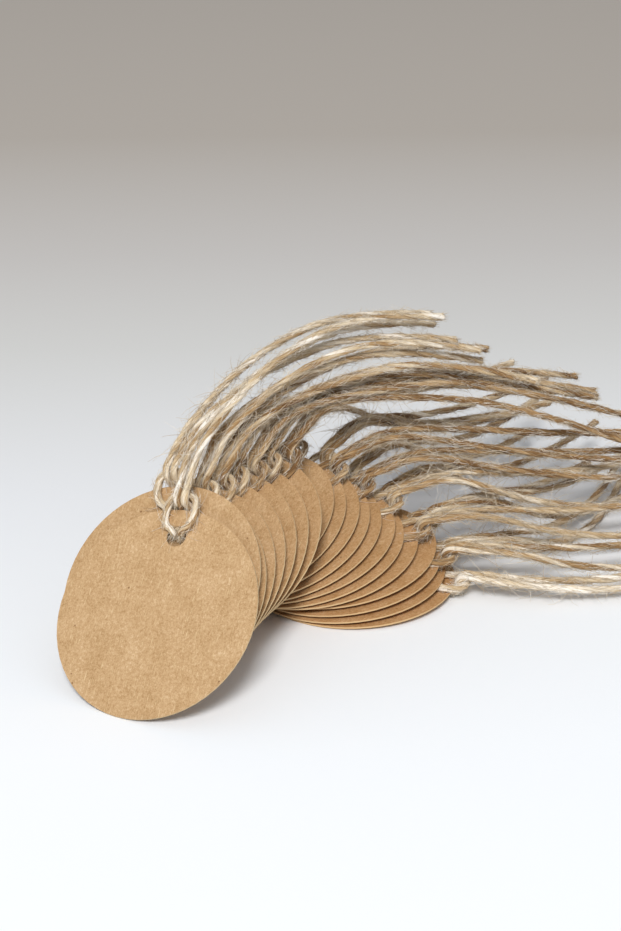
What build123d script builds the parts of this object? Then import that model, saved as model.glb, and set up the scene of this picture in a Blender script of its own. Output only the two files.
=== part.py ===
"""A fanned pile of round kraft gift tags, each on its own folded twine.

Every tag is a punched card disc. Its twine is folded in half, goes through the
hole as a loop, and both ends pass back through that loop over the rim, so the
twine holds the card in a cow hitch and leaves two free tails. The low tags lie on
one another like spread cards, and the front ones stand on their rims and lean on
them. All lengths are in millimetres, +Z is up and the pile stands at Z = 0.
"""

import math
import os

from build123d import *

# Card disc
tag_diameter = 50.0
card_thickness = 0.4
hole_diameter = 5.0
hole_margin = 4.0  # card left between the hole and the rim
rim_sides = 56  # the rim is cut as this many short straight sides, within 0.04 of the circle
hole_sides = 18

# Twine and its hitch
twine_diameter = 1.8
twine_sides = 5  # the twine is drawn as a tube with this many flat sides
twine_clearance = 0.12  # between twine and card, or twine and twine
pair_clearance = 0.1  # between the two strands that lie side by side
loop_slack = 0.36  # room between the strands at the rim and the end of the loop
loop_half_width = 3.4
loop_shares = [(1.0, 0.65), (0.7, 1.0)]  # along and across half the loop
hole_strand_share = 0.28  # of the hole's radius, where the strands go through it
tail_start = 3.0  # past the loop, where a tail's points are measured from

# How the pile is spread
low_tags = 12  # tags of the low part, whose hitches lie side by side
front_tags = 8  # tags of the front part, which stand on the table, their hitches on one another
low_edge_gap = 0.5  # air between two cards at their low edges, low part
front_edge_gap = 3.6  # the same, front part
front_ease = 0.2  # looseness of the front part's hitches on one another
low_slide = 1.7  # each low tag slides down the slope of the one under it
low_sidestep = 1.3  # and steps aside on it
first_step = 6.2  # the first front tag stands this far before the last low one
first_sidestep = -10.0
front_sidestep = -2.6  # each other front tag steps aside from the one behind it
first_lean = 3.0  # degrees from lying flat, lowest tag
front_lean = 42.0  # the same, first front tag
first_swing = 30.0  # degrees, the way the first tag slopes up, from +X
low_swing_step = 0.7
front_swing_step = 2.3
first_hole_turn = -14.0  # degrees from the slope to the hole, in the card
low_hole_step = 1.2
front_hole_step = 1.0
low_jog = 12.0  # degrees, neighbouring holes turn to either side by this
front_jog = 1.0

# Hand-laid strays of each tag from the even fan: up its slope and aside as shares of
# its radius, settling deeper as shares of the twine's diameter, and the hole's turn in degrees
creep_shares = [0, 0, 0.06, 0.14, 0.04, 0, 0.03, 0, 0, 0.02, 0, 0, 0, 0, 0, 0, 0, 0, 0.18, 0]
wander_shares = [0, 0, 0, 0, 0, 0, 0, 0, 0, 0, 0, 0, 0, 0, 0, 0, 0, 0, 0.06, 0]
sink_shares = [0, 0, 0, 0, 0, 0, 0, 0, 0, 0, 0, 0, 0, 0, 0, 0, 0, 0, 0, 1.05]
turn_strays = [-20, -20, -17, -14, -9, -5, 0, 0, 0, 0, 0, 0, 0, 0, 0, 0, 0, 0, 13, 0]

# Tails: for some tags, counted from the table, hand-laid points as
# (out from the loop, to the left, height over the table)
tail_routes = [
    (0, [(30.0, 4.0, 1.8), (56.0, 18.0, 0.95), (82.0, 42.0, 0.95)]),
    (10, [(32.0, -2.0, 27.0), (60.0, -8.0, 20.0), (92.0, -14.0, 16.0)]),
    (12, [(31.0, -5.0, 49.0), (60.0, -16.0, 46.0), (92.0, -30.0, 36.0)]),
    (19, [(30.0, -7.0, 61.5), (55.0, -20.0, 67.0), (74.0, -34.0, 61.0)]),
]
tail_spread = [2.2, 3.2, 4.5]  # each tail of a pair lies this far from their middle
tail_near = 12.0  # first point of a tail, straight on from its start
tail_near_spread = 0.4
tail_near_sag = 1.0
tail_reach = 92.0
tail_odd = 3.0  # one tail of a pair is longer by twice this
tail_strays = [0, 0, 0, 0, 0, 0, 0, 0, 0, 0, 0, 0, 0, 0, 0, 0, 0, 0, -16, 0]  # degrees of heading
bend_share = 0.36  # of the shorter run beside a bend, taken up by its arc
tail_trim = [0, -12, -4, 3, 8, -5, 2, -7, 5, 0, 7, -3, -9, 3, 9, -9, 1, -9, 5, 6]
tail_sway = [0, 36, -4, 2, 5, -3, 1, 4, -5, -1, -1, 5, -3, 2, 4, -5, 9, -6, -2, -4]

tag_count = low_tags + front_tags
tag_radius = tag_diameter / 2
hole_radius = hole_diameter / 2
twine_radius = twine_diameter / 2
hole_offset = tag_radius - hole_margin - hole_radius
reach = tag_radius + hole_offset  # from the low edge to the hitch
strand_half = twine_radius + pair_clearance / 2
face_level = card_thickness / 2 + twine_clearance + twine_radius
over_level = face_level + twine_diameter + 1.5 * twine_clearance
hole_strand = hole_offset + hole_strand_share * hole_radius
rim_strand = tag_radius + twine_clearance + twine_radius
loop_end = rim_strand + twine_diameter + loop_slack
tail_exit = loop_end + tail_start
low_layer = card_thickness + twine_diameter + 3 * twine_clearance
front_layer = card_thickness + 2 * twine_diameter + 2 * twine_clearance + front_ease
up = Vector(0, 0, 1)


class Tag:
    """Where one tag lies: its centre and the directions of slope, side, face and hole."""

    def __init__(self, number, low_edge, lean, swing, hole_turn):
        plan = Vector(math.cos(swing), math.sin(swing), 0)
        self.number = number
        self.slope = plan * math.cos(lean) + up * math.sin(lean)
        self.side = up.cross(plan)
        self.face = self.slope.cross(self.side)
        creep = tag_radius * creep_shares[number]
        wander = tag_radius * wander_shares[number]
        self.centre = low_edge + self.slope * (tag_radius + creep) + self.side * wander
        self.to_hole = self.slope * math.cos(hole_turn) + self.side * math.sin(hole_turn)

    def half_extent(self, axis):
        """Half of the disc's size along one of the three axes."""
        tilt = abs(self.face.dot(axis))
        return tag_radius * math.sqrt(1 - tilt**2) + card_thickness / 2 * tilt

    def plane(self):
        return Plane(origin=self.centre, x_dir=self.to_hole, z_dir=self.face)


def spread_pile():
    """Lay the low tags one on another, stand the front ones before them, and centre the cards."""
    tags = []
    low_edge = Vector(0, 0, 0)
    lean = math.radians(first_lean)
    swing = first_swing
    hole_turn = first_hole_turn
    for number in range(tag_count):
        jog = low_jog if number < low_tags else front_jog
        turn = hole_turn + (jog if number % 2 else -jog) + turn_strays[number]
        tag = Tag(number, low_edge, lean, math.radians(swing), math.radians(turn))
        tags.append(tag)
        plan = tag.side.cross(up)
        following = number + 1
        if following < low_tags:
            edge_step = card_thickness + low_edge_gap
            low_edge += tag.face * edge_step - tag.slope * low_slide + tag.side * low_sidestep
            lean += math.asin((low_layer - edge_step) / reach)
        elif following == low_tags:
            low_edge += tag.side * first_sidestep - plan * first_step - up * low_edge.Z
            lean = math.radians(front_lean)
        elif following < tag_count:
            sink = twine_diameter * sink_shares[following]
            edge_step = card_thickness + front_edge_gap - sink
            low_edge += tag.side * front_sidestep - plan * (edge_step / math.sin(lean))
            lean += math.asin((front_layer - sink - edge_step) / reach)
        swing += low_swing_step if following < low_tags else front_swing_step
        hole_turn += low_hole_step if following < low_tags else front_hole_step
    shift = Vector(0, 0, 0)
    for axis in (Vector(1, 0, 0), Vector(0, 1, 0), up):
        least = min(tag.centre.dot(axis) - tag.half_extent(axis) for tag in tags)
        most = max(tag.centre.dot(axis) + tag.half_extent(axis) for tag in tags)
        shift -= axis * (least if axis is up else (least + most) / 2)
    for tag in tags:
        tag.centre += shift
    return tags


def hitch_points(tag, hand):
    """One half of the hitch, from the end of the loop to the fold over it."""
    loop_length = loop_end - hole_strand
    points = [
        (hole_strand + along * loop_length, across * loop_half_width, face_level)
        for along, across in loop_shares
    ]
    points += [
        (hole_strand, strand_half, face_level),
        (hole_strand, strand_half, -face_level),
        (rim_strand, strand_half, -face_level),
        (rim_strand, strand_half, over_level),
    ]
    plane = tag.plane()
    return [plane.from_local_coords(Vector(x, hand * y, z)) for x, y, z in points]


def tail_points(tag, hand):
    """One tail, blended from the two hand-laid routes nearest in the pile."""
    out = (tag.to_hole - up * tag.to_hole.dot(up)).normalized()
    out = out.rotate(Axis.Z, tail_strays[tag.number])
    left = up.cross(out)
    start = tag.centre + tag.to_hole * tail_exit
    near = Vector(tail_exit + tail_near, hand * (strand_half + tail_near_spread), over_level)
    points = [tag.plane().from_local_coords(near) - up * tail_near_sag]
    rank = tag.number - tag.number % 2 if tag.number < low_tags else tag.number
    under = max(route for route in tail_routes[:-1] if route[0] <= rank)
    over = tail_routes[tail_routes.index(under) + 1]
    share = (rank - under[0]) / (over[0] - under[0])
    for low_point, high_point, spread in zip(under[1], over[1], tail_spread):
        reach_out, aside, height = (a + (b - a) * share for a, b in zip(low_point, high_point))
        far_share = (reach_out / tail_reach) ** 2
        reach_out += far_share * (tail_trim[tag.number] + hand * tail_odd)
        aside += hand * spread + far_share * tail_sway[tag.number]
        point = start + out * reach_out + left * aside
        points.append(point + up * (height - point.Z))
    return points


def bend_radii(points):
    """Radii of a tail's bends, as wide as its runs allow."""
    radii = []
    for before, here, after in zip(points, points[1:], points[2:]):
        half_turn = math.radians((here - before).get_angle(after - here)) / 2
        run = min((here - before).length, (after - here).length)
        radii.append(bend_share * run / math.tan(half_turn))
    return radii


def tag_disc(tag):
    """The punched card."""
    with BuildPart() as disc:
        with BuildSketch(tag.plane()):
            RegularPolygon(tag_radius, rim_sides)
            with Locations((hole_offset, 0)):
                RegularPolygon(hole_radius, hole_sides, mode=Mode.SUBTRACT)
        extrude(amount=card_thickness / 2, both=True)
    return disc.part


def tag_twine(tag):
    """The whole twine, from one tail's end through the hitch to the other's."""
    right, left = (hitch_points(tag, hand) for hand in (-1, 1))
    right_tail = [right[-1], *tail_points(tag, -1)]
    left_tail = [left[-1], *tail_points(tag, 1)]
    right_radii = bend_radii(right_tail)
    left_radii = bend_radii(left_tail)
    with BuildPart() as twine:
        with BuildLine() as route:
            FilletPolyline(*reversed(right_tail), radius=right_radii[::-1])
            Polyline(*reversed(right), *left)
            FilletPolyline(*left_tail, radius=left_radii)
        with BuildSketch(Plane(route.wire() ^ 0)) as section:
            RegularPolygon(twine_radius, twine_sides)
        sweep(transition=Transition.RIGHT)
    length = route.wire().length
    print(
        f"twine {tag.number + 1}: length {length:.1f}, bend radii "
        f"{', '.join(f'{radius:.0f}' for radius in right_radii + left_radii)}, "
        f"volume {twine.part.volume:.1f}, section times length {section.sketch.area * length:.1f}"
    )
    return twine.part


os.makedirs("parts", exist_ok=True)
for tag in spread_pile():
    for name, piece in (("tag", tag_disc(tag)), ("twine", tag_twine(tag))):
        piece.label = f"{name}_{tag.number + 1:02d}"
        export_step(piece, f"parts/{piece.label}.step")
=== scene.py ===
"""Looks of the fanned pile of round kraft gift tags on jute twine.

The card discs are the CAD nodes with a kraft card material. Each twine is laid
again as three hairy twisted plies along its own smooth route, in three pieces:
the hitch, and two tails.
"""

import math

import bpy
import numpy as np
from mathutils import Matrix, Vector


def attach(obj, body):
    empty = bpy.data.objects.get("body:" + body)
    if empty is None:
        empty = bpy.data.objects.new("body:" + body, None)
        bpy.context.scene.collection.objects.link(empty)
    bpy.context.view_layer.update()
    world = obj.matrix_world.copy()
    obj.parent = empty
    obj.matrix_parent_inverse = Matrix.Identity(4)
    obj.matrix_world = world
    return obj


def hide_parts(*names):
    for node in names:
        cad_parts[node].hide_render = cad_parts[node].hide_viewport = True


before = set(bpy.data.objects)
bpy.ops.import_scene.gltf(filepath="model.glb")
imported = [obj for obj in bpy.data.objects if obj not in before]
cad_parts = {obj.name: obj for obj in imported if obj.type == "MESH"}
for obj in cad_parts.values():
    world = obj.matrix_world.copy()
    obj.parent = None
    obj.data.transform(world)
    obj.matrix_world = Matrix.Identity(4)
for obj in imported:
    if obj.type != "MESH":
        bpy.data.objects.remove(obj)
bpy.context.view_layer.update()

MM = 0.001  # a millimetre in Blender's metres
tag_count = 20
low_tags = 12
up = Vector((0, 0, 1))

# Card disc, in millimetres as in the part's source
tag_radius = 25.0
card_thickness = 0.4
hole_radius = 2.5
hole_offset = 18.5

# Twine and its hitch
twine_diameter = 1.8
twine_radius = twine_diameter / 2
twine_clearance = 0.12
strand_half = 0.95
hole_strand_share = 0.28  # of the hole's radius, where the strands go through it
loop_slack = 0.36  # between the strands at the rim and the end of the loop
loop_half_width = 3.4
loop_shares = [(1.0, 0.6), (0.82, 1.05), (0.36, 1.12), (0.1, 0.7)]
face_level = card_thickness / 2 + twine_clearance + twine_radius
over_level = face_level + twine_diameter + 1.5 * twine_clearance
hole_strand = hole_offset + hole_strand_share * hole_radius
rim_strand = tag_radius + twine_clearance + twine_radius
loop_end = rim_strand + twine_diameter + loop_slack
tail_start = 3.0  # past the loop, where a tail's points are measured from
tail_exit = loop_end + tail_start
hole_fold, rim_fold, over_fold = 0.8, 0.6, 1.2  # from a fold to the points beside it
fold_flare_share = 0.7  # of hole_fold, by which the strands part before the hole
lead_out, lead_spread = 1.5, 0.1  # the point past the loop where a strand becomes a tail

# How the pile is spread: the low tags lie on one another, and the front ones stand before them
reach = tag_radius + hole_offset  # from the low edge to the hitch
low_edge_gap, front_edge_gap = 0.5, 3.6  # air between two cards at their low edges
low_edge_step = card_thickness + low_edge_gap
front_edge_step = card_thickness + front_edge_gap
front_ease = 0.2  # looseness of the front hitches on one another
low_layer = card_thickness + twine_diameter + 3 * twine_clearance
front_layer = card_thickness + 2 * twine_diameter + 2 * twine_clearance + front_ease
low_slide = 1.7  # each low tag slides down the slope of the one under it
low_sidestep, first_sidestep, front_sidestep = 1.3, -10.0, -2.6
first_step = 6.2  # the first front tag stands this far before the last low one
first_lean, front_lean = 3.0, 42.0  # degrees from lying flat
first_swing, low_swing_step, front_swing_step = 30.0, 0.7, 2.3  # degrees, the way a tag slopes up
first_hole_turn, low_hole_step, front_hole_step = -14.0, 1.2, 1.0  # degrees from the slope
low_jog, front_jog = 12.0, 1.0  # degrees, neighbouring holes turn to either side by this

# Strays of each tag from the even fan, listed one by one: up its slope and aside as shares of its radius,
# settling deeper as shares of the twine's diameter, and the hole's turn in degrees
creep_shares = [0, 0, 0.06, 0.14, 0.04, 0, 0.03, 0, 0, 0.02, 0, 0, 0, 0, 0, 0, 0, 0, 0.18, 0]
wander_shares = [0, 0, 0, 0, 0, 0, 0, 0, 0, 0, 0, 0, 0, 0, 0, 0, 0, 0, 0.06, 0]
sink_shares = [0, 0, 0, 0, 0, 0, 0, 0, 0, 0, 0, 0, 0, 0, 0, 0, 0, 0, 0, 1.05]
turn_strays = [-20, -20, -17, -14, -9, -5, 0, 0, 0, 0, 0, 0, 0, 0, 0, 0, 0, 0, 13, 0]

# Tails, as in the part's source: for some tags, points as (out from the loop, to the left, height)
tail_routes = [
    (0, [(30.0, 4.0, 1.8), (56.0, 18.0, 0.95), (82.0, 42.0, 0.95)]),
    (10, [(32.0, -2.0, 27.0), (60.0, -8.0, 20.0), (92.0, -14.0, 16.0)]),
    (12, [(31.0, -5.0, 49.0), (60.0, -16.0, 46.0), (92.0, -30.0, 36.0)]),
    (19, [(30.0, -7.0, 61.5), (55.0, -20.0, 67.0), (74.0, -34.0, 61.0)]),
]
tail_spread = [2.2, 3.2, 4.5]  # each tail of a pair lies this far from their middle
tail_near, tail_near_spread, tail_near_sag = 12.0, 0.4, 1.0  # a tail's first point
tail_reach = 92.0
tail_odd = 3.0  # one tail of a pair is longer by twice this
tail_strays = [0, 0, 0, 0, 0, 0, 0, 0, 0, 0, 0, 0, 0, 0, 0, 0, 0, 0, -16, 0]  # degrees of heading
tail_trim = [0, -12, -4, 3, 8, -5, 2, -7, 5, 0, 7, -3, -9, 3, 9, -9, 1, -9, 5, 6]
tail_sway = [0, 36, -4, 2, 5, -3, 1, 4, -5, -1, -1, 5, -3, 2, 4, -5, 9, -6, -2, -4]

# How far the ends of the right (-1) and left (1) tails are moved from the part's tubes,
# up and to the left, to close up the bundle as photographed
tail_rise = {
    -1: [3, 0, -1, -3, -4, -6, -4, -3, 2, 3, 3, -3, -9, -5, -9, -3, -7, 0, -5, 0],
    1: [7, 7, 6, 9, 6, 4, 6, 5, 8, 8, 8.5, 9, -5, -9, -7, -8, -3, -5, 0, -4],
}
tail_drift = {
    -1: [5, 0, 4, 0, 3, 3, -3, 4, 0, 4, 0, 4, 2, 3, 0, 3, 0, 5, 0, 4],
    1: [-1.5, 0, 4, 0, 0, -3, 2, -3, 0, 0, 0, 0, -2, -3, 0, -4, 0, -4, 0, -3],
}
rise_power = 0.6  # below 1, so that a tail's rise begins early
lowest_tail = 1.0  # no point but a tail's first is laid lower than this

# How far both tails' first points are moved to the left
near_drift = [0, 0, 0, 0, 0, 0, 0, 0, 0, 0, 0, 0, 0, 0, 0, 0, 0, 0, -5, 0]


class Tag:
    """Where one tag lies: its centre and the directions of slope, side, face and hole."""

    def __init__(self, number, low_edge, lean, swing, hole_turn):
        plan = Vector((math.cos(swing), math.sin(swing), 0))
        self.number = number
        self.slope = plan * math.cos(lean) + up * math.sin(lean)
        self.side = up.cross(plan)
        self.face = self.slope.cross(self.side)
        creep = tag_radius * creep_shares[number]
        wander = tag_radius * wander_shares[number]
        self.centre = low_edge + self.slope * (tag_radius + creep) + self.side * wander
        self.to_hole = self.slope * math.cos(hole_turn) + self.side * math.sin(hole_turn)
        self.across = self.face.cross(self.to_hole)

    def half_extent(self, axis):
        """Half of the disc's size along one of the three axes."""
        tilt = abs(self.face.dot(axis))
        return tag_radius * math.sqrt(1 - tilt**2) + card_thickness / 2 * tilt

    def place(self, along, across, over):
        """A point, given from the centre towards the hole, across that way and off the face."""
        return self.centre + self.to_hole * along + self.across * across + self.face * over


def spread_pile():
    """Lay the low tags one on another, stand the front ones before them, and centre the cards."""
    tags = []
    low_edge = Vector((0, 0, 0))
    lean, swing, hole_turn = math.radians(first_lean), first_swing, first_hole_turn
    for number in range(tag_count):
        jog = low_jog if number < low_tags else front_jog
        turn = hole_turn + (jog if number % 2 else -jog) + turn_strays[number]
        tag = Tag(number, low_edge, lean, math.radians(swing), math.radians(turn))
        tags.append(tag)
        plan = tag.side.cross(up)
        following = number + 1
        if following < low_tags:
            low_edge = low_edge + tag.face * low_edge_step - tag.slope * low_slide + tag.side * low_sidestep
            lean += math.asin((low_layer - low_edge_step) / reach)
        elif following == low_tags:
            low_edge = low_edge + tag.side * first_sidestep - plan * first_step - up * low_edge.z
            lean = math.radians(front_lean)
        elif following < tag_count:
            sink = twine_diameter * sink_shares[following]
            forward = (front_edge_step - sink) / math.sin(lean)
            low_edge = low_edge + tag.side * front_sidestep - plan * forward
            lean += math.asin((front_layer - front_edge_step) / reach)
        swing += low_swing_step if following < low_tags else front_swing_step
        hole_turn += low_hole_step if following < low_tags else front_hole_step
    shift = Vector((0, 0, 0))
    for axis in (Vector((1, 0, 0)), Vector((0, 1, 0)), up):
        least = min(tag.centre.dot(axis) - tag.half_extent(axis) for tag in tags)
        most = max(tag.centre.dot(axis) + tag.half_extent(axis) for tag in tags)
        shift -= axis * (least if axis is up else (least + most) / 2)
    for tag in tags:
        tag.centre += shift
    return tags


def hitch_points(tag, hand):
    """One half of the hitch, from the end of the loop to where its tail leaves it.

    The folds have a point on either side, so that the smooth line goes round
    the card's edges and over the loop without cutting into them.
    """
    loop_length = loop_end - hole_strand
    points = [
        (hole_strand + along * loop_length, across * loop_half_width, face_level)
        for along, across in loop_shares
    ]
    points += [
        (hole_strand + hole_fold, strand_half + fold_flare_share * hole_fold, face_level),
        (hole_strand, strand_half, face_level - hole_fold),
        (hole_strand, strand_half, hole_fold - face_level),
        (hole_strand + hole_fold, strand_half, -face_level),
        (rim_strand - rim_fold, strand_half, -face_level),
        (rim_strand, strand_half, rim_fold - face_level),
        (rim_strand, strand_half, over_level - over_fold),
        (rim_strand + over_fold, strand_half, over_level),
        (loop_end + lead_out, strand_half + lead_spread, over_level),
    ]
    return [tag.place(x, hand * y, z) for x, y, z in points]


def tail_points(tag, hand):
    """One tail, blended from the two listed routes nearest in the pile."""
    out = (tag.to_hole - up * tag.to_hole.dot(up)).normalized()
    out.rotate(Matrix.Rotation(math.radians(tail_strays[tag.number]), 3, "Z"))
    left = up.cross(out)
    start = tag.centre + tag.to_hole * tail_exit
    near = tag.place(tail_exit + tail_near, hand * (strand_half + tail_near_spread), over_level)
    points = [near - up * tail_near_sag + left * near_drift[tag.number]]
    rank = tag.number - tag.number % 2 if tag.number < low_tags else tag.number
    under = max(route for route in tail_routes[:-1] if route[0] <= rank)
    over = tail_routes[tail_routes.index(under) + 1]
    share = (rank - under[0]) / (over[0] - under[0])
    for low_point, high_point, spread in zip(under[1], over[1], tail_spread):
        reach_out, aside, height = (a + (b - a) * share for a, b in zip(low_point, high_point))
        height += tail_rise[hand][tag.number] * (reach_out / tail_reach) ** rise_power
        aside += tail_drift[hand][tag.number] * reach_out / tail_reach
        far_share = (reach_out / tail_reach) ** 2
        reach_out += far_share * (tail_trim[tag.number] + hand * tail_odd)
        aside += hand * spread + far_share * tail_sway[tag.number]
        point = start + out * reach_out + left * aside
        point.z = max(height, lowest_tail)
        points.append(point)
    return points


# Twine as drawn

ply_count = 3
ply_sides = 8
ply_lay = 20.0  # one full turn of the plies
ply_radius = 0.55
ply_offset = 0.36  # from the twine's middle to a ply's middle
ply_uv_start, ply_uv_width = 4.1, 3.7  # each ply takes its own strip of the fibre pattern
step = 0.6  # between the rings of a ply
ring_floor, fibre_floor = 0.03, 0.04  # nothing goes under the table
hitch_end = 1.0  # past the loop, where the hitch's piece ends and the tails' begin
end_opening, end_stretch = 0.45, 6.0  # the plies open by this share over the last stretch to a cut end
across_twine = (0.3, 0.2, 1.0)  # a way that no twine starts along
across_fibre = (0.31, 0.52, 0.79)

# How uneven the twine is, as the amount of each stray and the length of its waves
swell_stray = (0.13, 8.0)
twist_stray = (0.9, 16.0)
offset_stray = (0.25, 5.0)
radius_stray = (0.16, 2.6)
tone_stray = (0.3, 7.0)
ply_tone = 0.3
# the light each twine gets is painted into its tone, from brown in painted shade to pale where painted lit
twine_painted_light, painted_light_span, painted_light_power = 0.3, 0.4, 3

# Loose fibres of every kind
fibre_sides = 3
fibre_rings = 4
fibre_radius, fibre_taper = (0.04, 0.08), 0.75
fibre_tone, fibre_tone_span = 0.45, 0.55
fibre_uv = (12.5, 0.2)  # a strip of the fibre pattern past those of the plies

# Hairs along the twine
hairs_per_mm = 7.0
trailing_share = 0.66  # of the hairs lie along the twine, and the others stand off it
trailing_length, standing_length = (2.5, 8.0), (0.7, 2.6)
trailing_rise, standing_rise, steepest = (0.03, 0.22), (0.4, 1.0), 0.98
hair_sideways, hair_curl, hair_droop = (-0.4, 0.4), (-0.3, 0.15), 0.06
hair_root = 0.85  # of the twine's radius
stretch_end = 8.0  # this near an end of its piece, a hair points back into it
hair_reach = 1.7  # the most that a hair's tip rises over its root
bend_reach = 2.5  # a hair whose tip is further than this from the twine's middle is cut back
bend_rings = 14  # how many rings on either side of a hair are looked at for that
cut_back = 0.55

# Fibres at the cut ends
fray_fibres = 60
fray_root, fray_back = (0.1, 1.0), 0.6
fray_splay, fray_curl, fray_length = (0.0, 0.5), (-0.1, 0.2), (0.8, 1.9)

# Wisps off the hitch
wisps, wisp_stretch = 90, 34.0
wisp_splay, wisp_curl, wisp_back = (0.2, 0.9), (-0.7, 0.7), 0.3
wisp_root, wisp_length = 0.7, (3.5, 11.0)

# Fuzz in the hole, and stray fibres over the card in a ring beside it
fuzz_fibres = 50
fuzz_fan, fuzz_width = (-1.2, 1.2), 1.2
fuzz_depth, fuzz_back, fuzz_lift = (-0.6, 0.1), 0.5, (-0.2, 0.2)
fuzz_curl, fuzz_rise, fuzz_length = (-0.5, 0.5), (-0.1, 0.25), (0.8, 2.6)
card_fibres, card_ring = 16, 3
card_lift, card_curl, card_length = (0.06, 0.3), (-0.8, 0.8), (1.5, 6.0)

# Seeds of the random draws, to which a tag's number is added
card_seed, twist_seed, fibre_seed = 40, 100, 500


def read_route(points):
    """Evenly spaced points, read off the smooth spline of a route, in millimetres."""
    curve = bpy.data.curves.new("route", "CURVE")
    curve.dimensions = "3D"
    curve.resolution_u = 48
    spline = curve.splines.new("NURBS")
    spline.points.add(len(points) - 1)
    for control, point in zip(spline.points, points):
        control.co = (*(point * MM), 1)
    spline.order_u = 3
    spline.use_endpoint_u = True
    line = bpy.data.objects.new("route", curve)
    bpy.context.scene.collection.objects.link(line)
    mesh = bpy.data.meshes.new_from_object(line)
    read = np.empty(len(mesh.vertices) * 3)
    mesh.vertices.foreach_get("co", read)
    read = read.reshape(-1, 3) / MM
    bpy.data.objects.remove(line)
    bpy.data.curves.remove(curve)
    bpy.data.meshes.remove(mesh)
    run = np.concatenate([[0], np.cumsum(np.linalg.norm(np.diff(read, axis=0), axis=1))])
    marks = np.linspace(0, run[-1], int(run[-1] / step) + 1)
    return np.stack([np.interp(marks, run, read[:, i]) for i in range(3)], axis=1), marks


def unit(vectors):
    """Vectors of length one."""
    return vectors / np.linalg.norm(vectors, axis=-1, keepdims=True)


def frames_along(line):
    """Forward, and two directions square to it that turn as little as they can."""
    forward = unit(np.gradient(line, axis=0))
    first = np.empty_like(line)
    square = np.cross(forward[0], across_twine)
    for i, ahead in enumerate(forward):
        square = square - ahead * square.dot(ahead)
        square = square / np.linalg.norm(square)
        first[i] = square
    return forward, first, np.cross(forward, first)


def waver(rng, marks, stray):
    """A smooth random line along the twine, between plus and minus the stray's amount."""
    amount, wavelength = stray
    knots = np.arange(-1, marks[-1] / wavelength + 3)
    values = rng.uniform(-1, 1, len(knots))
    fine = np.interp(marks / wavelength, knots, values)
    span = max(1, int(0.5 * wavelength / step))
    padded = np.pad(fine, span, mode="edge")
    return amount * np.convolve(padded, np.ones(2 * span + 1) / (2 * span + 1), mode="valid")


def column(rng, bounds, count):
    """A random number for each fibre, as a column to scale vectors by."""
    return rng.uniform(*bounds, count)[:, None]


def outward_from(frames, at, angle):
    """Directions square to the twine at some of its marks, at an angle round it."""
    first, second = frames[1:]
    return np.cos(angle)[:, None] * first[at] + np.sin(angle)[:, None] * second[at]


class MeshParts:
    """Collects tubes, then makes one piece of them."""

    def __init__(self):
        self.places, self.faces, self.uvs, self.tones = [], [], [], []
        self.total = 0

    def tube(self, rings, along, around, tone):
        """A tube through rings, with its place along the twine and (start, width) around it as its UV."""
        count, sides = rings.shape[:2]
        corner = self.total + np.arange(count * sides).reshape(count, sides)
        after = np.roll(corner, -1, axis=1)
        walls = np.stack([corner[:-1], after[:-1], after[1:], corner[1:]], axis=-1)
        self.faces += walls.reshape(-1, 4).tolist() + [corner[0, ::-1].tolist(), corner[-1].tolist()]
        edge = around[0] + around[1] * np.arange(sides + 1) / sides
        low = np.meshgrid(along[:-1], edge[:-1], indexing="ij")
        high = np.meshgrid(along[1:], edge[1:], indexing="ij")
        quads = np.stack([low[0], low[1], low[0], high[1], high[0], high[1], high[0], low[1]], axis=-1)
        ends = np.repeat([[along[0], edge[0]], [along[-1], edge[0]]], sides, axis=0)
        self.uvs += [quads.reshape(-1, 2), ends]
        self.places.append(rings.reshape(-1, 3))
        self.tones.append(np.repeat(np.broadcast_to(tone, (count,)), sides))
        self.total += count * sides

    def piece(self, name):
        """One object of all the tubes."""
        mesh = bpy.data.meshes.new(name)
        places = np.concatenate(self.places) * MM
        mesh.from_pydata(places.tolist(), [], self.faces)
        layer = mesh.uv_layers.new(name="UVMap")
        layer.data.foreach_set("uv", np.concatenate(self.uvs).astype(np.float32).ravel())
        tone = mesh.attributes.new("tone", "FLOAT", "POINT")
        tone.data.foreach_set("value", np.concatenate(self.tones).astype(np.float32))
        mesh.polygons.foreach_set("use_smooth", [True] * len(mesh.polygons))
        made = bpy.data.objects.new(name, mesh)
        bpy.context.scene.collection.objects.link(made)
        return made


def ring_round(middle, ahead, across, radius, sides):
    """Rings of vertices square to a line, of a radius that may change along it."""
    corner = np.arange(sides) * 2 * math.pi / sides
    second = np.cross(ahead, across)
    spoke = np.cos(corner)[:, None] * across[..., None, :] + np.sin(corner)[:, None] * second[..., None, :]
    rings = middle[..., None, :] + radius[..., None, None] * spoke
    rings[..., 2] = np.maximum(rings[..., 2], ring_floor)
    return rings


def lay_plies(parts, line, marks, frames, keep, rng, shade):
    """The twisted plies over the kept stretch of a twine, thick and thin as jute is spun."""
    to_end = np.minimum(marks, marks[-1] - marks)
    opening = 1 + end_opening * np.clip(1 - to_end / end_stretch, 0, 1) ** 2
    swell = 1 + waver(rng, marks, swell_stray)
    turn = 2 * math.pi * marks / ply_lay + waver(rng, marks, twist_stray)
    for ply in range(ply_count):
        angle = turn + 2 * math.pi * ply / ply_count
        outward = outward_from(frames, slice(None), angle)
        offset = ply_offset * swell * opening * (1 + waver(rng, marks, offset_stray))
        middle = line + outward * offset[:, None]
        ahead = unit(np.gradient(middle, axis=0))
        across = unit(outward - ahead * np.sum(outward * ahead, axis=1, keepdims=True))
        radius = ply_radius * swell * (1 + waver(rng, marks, radius_stray))
        rings = ring_round(middle, ahead, across, radius, ply_sides)
        # a ply's tone is the twine's painted light level, shade, with random streaks and a random tone of its
        # own
        tone = np.clip(shade + waver(rng, marks, tone_stray) + ply_tone * rng.uniform(-1, 1), 0, 1)
        parts.tube(rings[keep], marks[keep], (ply_uv_start * ply, ply_uv_width), tone[keep])


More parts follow.
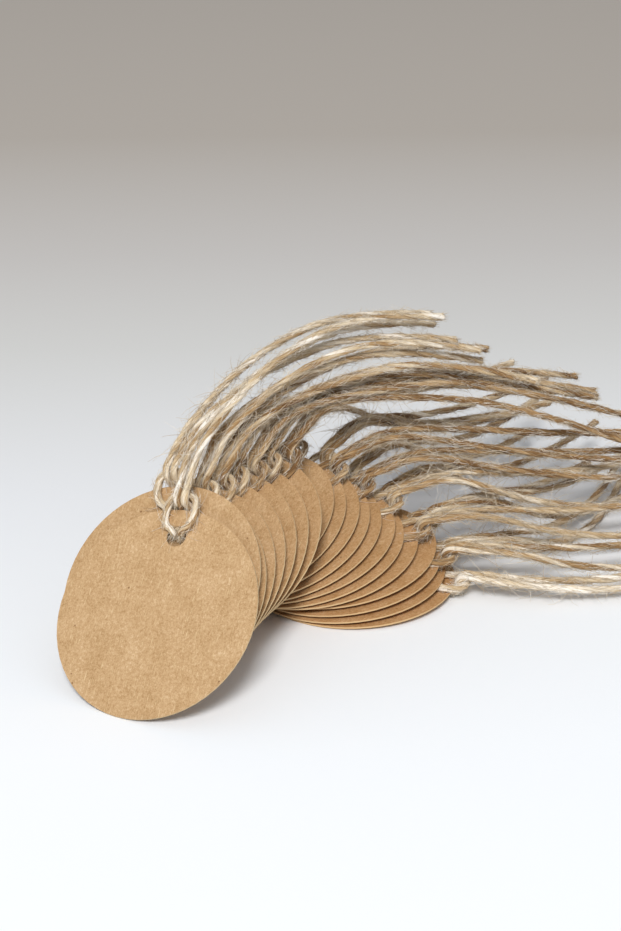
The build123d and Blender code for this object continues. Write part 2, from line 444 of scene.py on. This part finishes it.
def lay_hairs(parts, line, marks, frames, keep, rng):
    """Loose fibres that stand or trail off the kept stretch of a twine."""
    forward = frames[0]
    chosen = np.arange(len(marks))[keep]
    count = int(hairs_per_mm * (marks[chosen[-1]] - marks[chosen[0]]))
    at = rng.choice(chosen, count)
    angle = rng.uniform(0, 2 * math.pi, count)
    outward = outward_from(frames, at, angle)
    sideways = np.cross(forward[at], outward)
    trailing = rng.uniform(0, 1, count) < trailing_share
    length = np.where(trailing, rng.uniform(*trailing_length, count), rng.uniform(*standing_length, count))
    rise = np.where(trailing, rng.uniform(*trailing_rise, count), rng.uniform(*standing_rise, count))
    way = rng.choice([-1, 1], count)
    way = np.where(marks[at] < marks[chosen[0]] + stretch_end, 1, way)
    way = np.where(marks[at] > marks[chosen[-1]] - stretch_end, -1, way)
    heading = unit(
        forward[at] * (way * np.sqrt(1 - np.minimum(rise, steepest) ** 2))[:, None]
        + outward * rise[:, None]
        + sideways * column(rng, hair_sideways, count)
    )
    curl = outward * column(rng, hair_curl, count)
    curl += sideways * column(rng, hair_sideways, count)
    curl[:, 2] -= hair_droop
    whole = heading + curl
    off_line = whole - forward[at] * np.sum(whole * forward[at], axis=1, keepdims=True)
    length = np.minimum(length, hair_reach / np.linalg.norm(off_line, axis=1))
    start = line[at] + outward * (hair_root * twine_radius)
    # a fibre on the outside of a bend is cut back where the twine turns away from it
    tip = start + length[:, None] * whole
    nearby = np.clip(at[:, None] + np.arange(-bend_rings, bend_rings + 1), 0, len(line) - 1)
    stand_off = np.linalg.norm(tip[:, None] - line[nearby], axis=2).min(axis=1)
    length = np.where(stand_off > bend_reach, cut_back * length, length)
    add_fibres(parts, start, heading, curl, length, rng, marks[at])


def add_fibres(parts, start, heading, curl, length, rng, along):
    """Thin tapered fibres, drawn a little thicker than jute's own so that they show."""
    share = np.linspace(0, 1, fibre_rings)
    bow = share[:, None] * heading[:, None] + (share**2)[:, None] * curl[:, None]
    line = start[:, None] + length[:, None, None] * bow
    line[..., 2] = np.maximum(line[..., 2], fibre_floor)
    ahead = unit(np.gradient(line, axis=1))
    across = unit(np.cross(ahead, across_fibre))
    radius = column(rng, fibre_radius, len(start)) * (1 - fibre_taper * share)
    rings = ring_round(line, ahead, across, radius, fibre_sides)
    for i, tone in enumerate(fibre_tone + fibre_tone_span * rng.uniform(size=len(start))):
        parts.tube(rings[i], along[i] + share * length[i], fibre_uv, tone)


def fray_end(parts, line, marks, frames, keep, rng, last):
    """Fibres that spread from a cut end."""
    end = keep.stop - 1 if last else keep.start
    ahead = frames[0][end] if last else -frames[0][end]
    count = fray_fibres
    outward = outward_from(frames, end, rng.uniform(0, 2 * math.pi, count))
    start = line[end] + outward * column(rng, fray_root, count) - ahead * fray_back
    heading = unit(ahead + outward * column(rng, fray_splay, count))
    curl = outward * column(rng, fray_curl, count)
    length = rng.uniform(*fray_length, count)
    add_fibres(parts, start, heading, curl, length, rng, np.full(count, marks[end]))


def add_wisps(parts, line, marks, frames, keep, rng):
    """Long loose fibres that wander off the hitch and the first stretch of both tails."""
    count = wisps
    stray = rng.integers(0, round(wisp_stretch / step), count)
    at = np.where(rng.uniform(size=count) < 0.5, keep.start - stray, keep.stop + stray)
    outward = outward_from(frames, at, rng.uniform(0, 2 * math.pi, count))
    heading = frames[0][at] * column(rng, (-1, 1), count)
    heading = unit(heading + outward * column(rng, wisp_splay, count))
    curl = np.cross(heading, outward) * column(rng, wisp_curl, count) - outward * wisp_back
    length = rng.uniform(*wisp_length, count)
    add_fibres(parts, line[at] + outward * wisp_root, heading, curl, length, rng, marks[at])


def stuff_hole(parts, tag, rng):
    """Fuzz rubbed off the twine that fills the rest of the hole, and stray fibres over the card."""
    to_hole, across, face = (np.array(way) for way in (tag.to_hole, tag.across, tag.face))
    count = fuzz_fibres
    fan = rng.uniform(*fuzz_fan, count)
    depth = rng.uniform(*fuzz_depth, count)
    start = np.array([tag.place(hole_strand - fuzz_back, fuzz_width * a, z) for a, z in zip(fan, depth)])
    heading = across * np.sin(fan)[:, None] - to_hole * np.cos(fan)[:, None]
    heading += face * column(rng, fuzz_lift, count)
    curl = across * column(rng, fuzz_curl, count)
    curl += face * column(rng, fuzz_rise, count)
    length = rng.uniform(*fuzz_length, count)
    add_fibres(parts, start, heading, curl, length, rng, np.zeros(count))
    count = card_fibres
    fan = rng.uniform(0, 2 * math.pi, count)
    lie = card_thickness / 2 + rng.uniform(*card_lift, count)
    along = hole_strand + card_ring + card_ring * np.cos(fan)
    aside = card_ring * np.sin(fan)
    start = np.array([tag.place(*place) for place in zip(along, aside, lie)])
    heading = to_hole * np.cos(fan)[:, None] + across * np.sin(fan)[:, None]
    curl = np.cross(heading, face) * column(rng, card_curl, count)
    length = rng.uniform(*card_length, count)
    add_fibres(parts, start, heading, curl, length, rng, np.zeros(count))


def string_tag(tag, jute):
    """The three pieces of one twine: its hitch and its two tails."""
    label = f"{tag.number + 1:02d}"
    right, left = (hitch_points(tag, hand) + tail_points(tag, hand) for hand in (-1, 1))
    line, marks = read_route([*reversed(right), *left])
    frames = frames_along(line)
    along = (line - np.array(tag.centre)) @ np.array(tag.to_hole)
    over_loop = np.flatnonzero(along < loop_end + hitch_end)
    start, stop = over_loop[0], over_loop[-1]
    stretches = {
        f"twine_{label}_tail_right": slice(0, start + 1),
        f"twine_{label}_hitch": slice(start, stop + 1),
        f"twine_{label}_tail_left": slice(stop, len(marks)),
    }
    rng = np.random.default_rng(fibre_seed + tag.number)
    # painted light and shade: the twines are painted palest at both ends of the fan, as if lit most, and
    # brownest in its middle, as if in shade
    shade = twine_painted_light + painted_light_span * abs(2 * tag.number / (tag_count - 1) - 1) ** painted_light_power
    for name, keep in stretches.items():
        parts = MeshParts()
        # each stretch draws the same twist, so that the plies run on from one to the next
        twist_rng = np.random.default_rng(twist_seed + tag.number)
        lay_plies(parts, line, marks, frames, keep, twist_rng, shade)
        lay_hairs(parts, line, marks, frames, keep, rng)
        if "tail" in name:
            fray_end(parts, line, marks, frames, keep, rng, name.endswith("left"))
        else:
            add_wisps(parts, line, marks, frames, keep, rng)
            stuff_hole(parts, tag, rng)
        piece = parts.piece(name)
        piece.data.materials.append(jute)
        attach(piece, f"strung_tag_{label}")
        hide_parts(f"twine_{label}")
        if "tail" in name:
            path = line[keep] * MM
            if name.endswith("right"):
                path = path[::-1]


# Materials

sheet_step = 70.0  # between the patches of the kraft sheet that two tags are cut from
painted_shade_redder, painted_shade_deeper = 0.008, 0.12  # painted warm shade: by these the lowest card is painted redder and deeper than the front one, as the light between the cards


def linear(code):
    """An sRGB hex colour as linear red, green, blue and alpha."""
    channels = [int(code[i : i + 2], 16) / 255 for i in (1, 3, 5)]
    return tuple(c / 12.92 if c <= 0.04045 else ((c + 0.055) / 1.055) ** 2.4 for c in channels) + (1.0,)


def add_node(tree, kind, inputs=None, stops=None, **settings):
    """One node: its settings, the stops of a ramp, and for each input a value or a socket to link."""
    made = tree.nodes.new("ShaderNode" + kind)
    for name, value in settings.items():
        setattr(made, name, value)
    for place, (position, colour) in enumerate(stops or []):
        elements = made.color_ramp.elements
        element = elements[place] if place < len(elements) else elements.new(position)
        element.position = position
        element.color = linear(colour) if isinstance(colour, str) else (colour, colour, colour, 1)
    for name, value in (inputs or {}).items():
        if isinstance(value, bpy.types.NodeSocket):
            tree.links.new(value, made.inputs[name])
        else:
            made.inputs[name].default_value = value
    return made


def new_material(name):
    """A new material, its nodes and its shader."""
    material = bpy.data.materials.new(name)
    material.use_nodes = True
    tree = material.node_tree
    return material, tree, tree.nodes["Principled BSDF"]


def kraft_card(tag):
    """Unbleached kraft card, die-cut: matte tan, cloudy, flecked with fibres, with a painted highlight on the
    cut edge and painted warm shade on the cards behind the front one.
    """
    material, tree, shader = new_material(f"kraft_card_{tag.number + 1:02d}")
    rng = np.random.default_rng(card_seed + tag.number)
    turn = Matrix((tag.to_hole, tag.across, tag.face))
    places = add_node(tree, "TexCoord")
    # millimetres in the card's own plane, a different patch of the sheet for each tag
    local = add_node(
        tree,
        "Mapping",
        {
            "Vector": places.outputs["Object"],
            "Location": turn @ -tag.centre + Vector((sheet_step * tag.number, 0, 0)),
            "Rotation": turn.to_euler(),
            "Scale": (1 / MM, 1 / MM, 1 / MM),
        },
    )
    # the sheet's cloudy formation, about 7 mm and 0.7 mm across, and its 0.3 mm grain
    cloud = add_node(tree, "TexNoise", {"Vector": local.outputs[0], "Scale": 0.14, "Detail": 2.0})
    mottle = add_node(
        tree, "TexNoise", {"Vector": local.outputs[0], "Scale": 1.5, "Detail": 4.0, "Roughness": 0.7}
    )
    grain = add_node(tree, "TexNoise", {"Vector": local.outputs[0], "Scale": 3.3, "Detail": 2.0})
    blend = add_node(tree, "Math", {0: mottle.outputs[0], 1: 0.55}, operation="MULTIPLY")
    for pattern, amount in ((grain, 0.4), (cloud, 0.25)):
        inputs = {0: pattern.outputs[0], 1: amount, 2: blend.outputs[0]}
        blend = add_node(tree, "Math", inputs, operation="MULTIPLY_ADD")
    tan = add_node(
        tree,
        "ValToRGB",
        {"Fac": blend.outputs[0]},
        stops=[(0.4, "#99764c"), (0.55, "#b49167"), (0.66, "#c19f76"), (0.8, "#d6b994")],
    )
    colour = tan.outputs[0]
    # fibres about 2.5 mm long and 0.2 mm wide, pale and dark, lying three ways
    flecks = []
    for angle, shade, amount in ((0.5, "#e6cda3", 0.5), (2.1, "#93683c", 0.35), (1.2, "#e0c497", 0.4)):
        lie = (0, 0, angle + float(rng.uniform(-0.4, 0.4)))
        stretched = add_node(
            tree, "Mapping", {"Vector": local.outputs[0], "Rotation": lie, "Scale": (0.4, 5.0, 1.0)}
        )
        strands = add_node(
            tree,
            "TexNoise",
            {"Vector": stretched.outputs[0], "Scale": 1.0, "Detail": 1.5, "Distortion": 0.6},
        )
        fleck = add_node(tree, "ValToRGB", {"Fac": strands.outputs[0]}, stops=[(0.64, 0.0), (0.72, 1.0)])
        share = add_node(tree, "Math", {0: fleck.outputs[0], 1: amount}, operation="MULTIPLY")
        mixed = add_node(tree, "Mix", {0: share.outputs[0], 6: colour, 7: linear(shade)}, data_type="RGBA")
        colour = mixed.outputs[2]
        flecks.append(fleck)
    # dark specks of bark, a few on each tag
    cells = add_node(tree, "TexVoronoi", {"Vector": local.outputs[0], "Scale": 0.16})
    speck = add_node(tree, "ValToRGB", {"Fac": cells.outputs["Distance"]}, stops=[(0.025, 0.8), (0.045, 0.0)])
    mixed = add_node(tree, "Mix", {0: speck.outputs[0], 6: colour, 7: linear("#6e4a2a")}, data_type="RGBA")
    # painted highlight: the cut edge, square to the face, is painted paler, as if it caught the light
    square = add_node(
        tree, "VectorMath", {0: places.outputs["Normal"], 1: tuple(tag.face)}, operation="DOT_PRODUCT"
    )
    flat = add_node(tree, "Math", {0: square.outputs["Value"]}, operation="ABSOLUTE")
    painted_edge_highlight = add_node(tree, "Math", {0: flat.outputs[0], 1: 0.5}, operation="LESS_THAN")
    final = add_node(
        tree, "Mix", {0: painted_edge_highlight.outputs[0], 6: mixed.outputs[2], 7: linear("#d2b78e")}, data_type="RGBA"
    )
    # painted warm shade: the cards behind the front one are painted slightly redder and deeper, as the light
    # that bounces between the cards
    depth = 1 - tag.number / (tag_count - 1)
    painted_warm_shade = add_node(
        tree,
        "HueSaturation",
        {"Hue": 0.5 - painted_shade_redder * depth, "Saturation": 1 + painted_shade_deeper * depth, "Color": final.outputs[2]},
    )
    tree.links.new(painted_warm_shade.outputs[0], shader.inputs["Base Color"])
    # only the first fibres stand out of the sheet
    relief = {0: flecks[0].outputs[0], 1: 0.5, 2: blend.outputs[0]}
    height = add_node(tree, "Math", relief, operation="MULTIPLY_ADD")
    bump = add_node(tree, "Bump", {"Height": height.outputs[0], "Strength": 0.3, "Distance": 0.06 * MM})
    tree.links.new(bump.outputs[0], shader.inputs["Normal"])
    shader.inputs["Roughness"].default_value = 0.82
    shader.inputs["Specular IOR Level"].default_value = 0.25
    return material


def jute_twine():
    """Spun jute: dull fibres from brown to cream that run along each ply, pale where they stand off."""
    material, tree, shader = new_material("jute_twine")
    uv = add_node(tree, "UVMap", uv_map="UVMap")
    # fibre bundles about 5 mm long and 0.15 mm wide
    stretched = add_node(tree, "Mapping", {"Vector": uv.outputs[0], "Scale": (0.22, 6.0, 1.0)})
    strands = add_node(
        tree, "TexNoise", {"Vector": stretched.outputs[0], "Scale": 1.0, "Detail": 3.0, "Roughness": 0.7}
    )
    tone = add_node(tree, "Attribute", attribute_name="tone")
    blend = add_node(tree, "Math", {0: strands.outputs[0], 1: 0.9, 2: -0.2}, operation="MULTIPLY_ADD")
    toned = {0: tone.outputs["Fac"], 1: 0.5, 2: blend.outputs[0]}
    blend = add_node(tree, "Math", toned, operation="MULTIPLY_ADD")
    straw = add_node(
        tree,
        "ValToRGB",
        {"Fac": blend.outputs[0]},
        stops=[(0.2, "#62421f"), (0.4, "#a58256"), (0.57, "#d7c3a1"), (0.74, "#f9f1e5")],
    )
    tree.links.new(straw.outputs[0], shader.inputs["Base Color"])
    bump = add_node(tree, "Bump", {"Height": strands.outputs[0], "Strength": 0.6, "Distance": 0.12 * MM})
    tree.links.new(bump.outputs[0], shader.inputs["Normal"])
    shader.inputs["Roughness"].default_value = 0.75
    shader.inputs["Specular IOR Level"].default_value = 0.3
    shader.inputs["Sheen Weight"].default_value = 0.15
    return material


# The cards and their twines

tags = spread_pile()
jute = jute_twine()
for tag in tags:
    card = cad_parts[f"tag_{tag.number + 1:02d}"]
    card.data.materials.clear()
    card.data.materials.append(kraft_card(tag))
    string_tag(tag, jute)

# Table, light and camera, in metres

table_size, table_middle = 6.0, (0, 1.5, 0)
painted_shade_start, painted_shade_end = -0.06, 0.54  # front and back of the painted shade that darkens the table to grey
lamp_place, lamp_target = (-0.3, -2.35, 2.3), (0.0, 0.0, 0.01)
lamp_size, lamp_power = 0.8, 92.0
room_colour, room_strength = (0.93, 0.96, 1.0, 1), 0.42
photo_height, focal_length = 931, 2104.6  # in the photograph's pixels
sensor_height = 36  # millimetres
camera_place = (-0.01163, -0.45217, 0.23346)
camera_dip, camera_turn = 22.985, -2.862  # degrees


def lay_table():
    """A white table top with painted shade that darkens it to grey towards the back."""
    bpy.ops.object.select_all(action="DESELECT")
    bpy.ops.mesh.primitive_plane_add(size=table_size, location=table_middle)
    table = bpy.context.object
    table.name = "table"
    bpy.ops.object.transform_apply(location=True)
    material, tree, shader = new_material("white_table")
    places = add_node(tree, "TexCoord")
    split = add_node(tree, "SeparateXYZ", {0: places.outputs["Object"]})
    span = {"Value": split.outputs["Y"], "From Min": painted_shade_start, "From Max": painted_shade_end}
    back = add_node(tree, "MapRange", span)
    shade = add_node(
        tree,
        "ValToRGB",
        {"Fac": back.outputs[0]},
        stops=[
            (0.0, "#fafcfe"),
            (0.1, "#f6f8fa"),
            (0.225, "#edeef0"),
            (0.43, "#d9d8d5"),
            (0.6, "#cdc9c5"),
            (0.9, "#bcb4ab"),
        ],
    )
    tree.links.new(shade.outputs[0], shader.inputs["Base Color"])
    shader.inputs["Roughness"].default_value = 0.9
    shader.inputs["Specular IOR Level"].default_value = 0.1
    table.data.materials.append(material)


def add_lamp(name, place, target, size, power):
    """A square lamp that faces its target."""
    lamp = bpy.data.lights.new(name, "AREA")
    lamp.size = size
    lamp.energy = power
    holder = bpy.data.objects.new(name, lamp)
    holder.location = place
    holder.rotation_euler = (Vector(target) - Vector(place)).to_track_quat("-Z", "Y").to_euler()
    bpy.context.scene.collection.objects.link(holder)


lay_table()
add_lamp("window_light", lamp_place, lamp_target, lamp_size, lamp_power)
world = bpy.data.worlds.new("soft_room")
bpy.context.scene.world = world
world.use_nodes = True
room = world.node_tree.nodes["Background"]
room.inputs["Color"].default_value = room_colour
room.inputs["Strength"].default_value = room_strength

camera_data = bpy.data.cameras.new("camera")
camera_data.sensor_fit = "VERTICAL"
camera_data.sensor_height = sensor_height
camera_data.lens = focal_length / photo_height * sensor_height
camera = bpy.data.objects.new("camera", camera_data)
camera.location = camera_place
camera.rotation_euler = (math.radians(90 - camera_dip), 0, math.radians(camera_turn))
bpy.context.scene.collection.objects.link(camera)
bpy.context.scene.camera = camera
bpy.context.scene.view_settings.view_transform = "Standard"
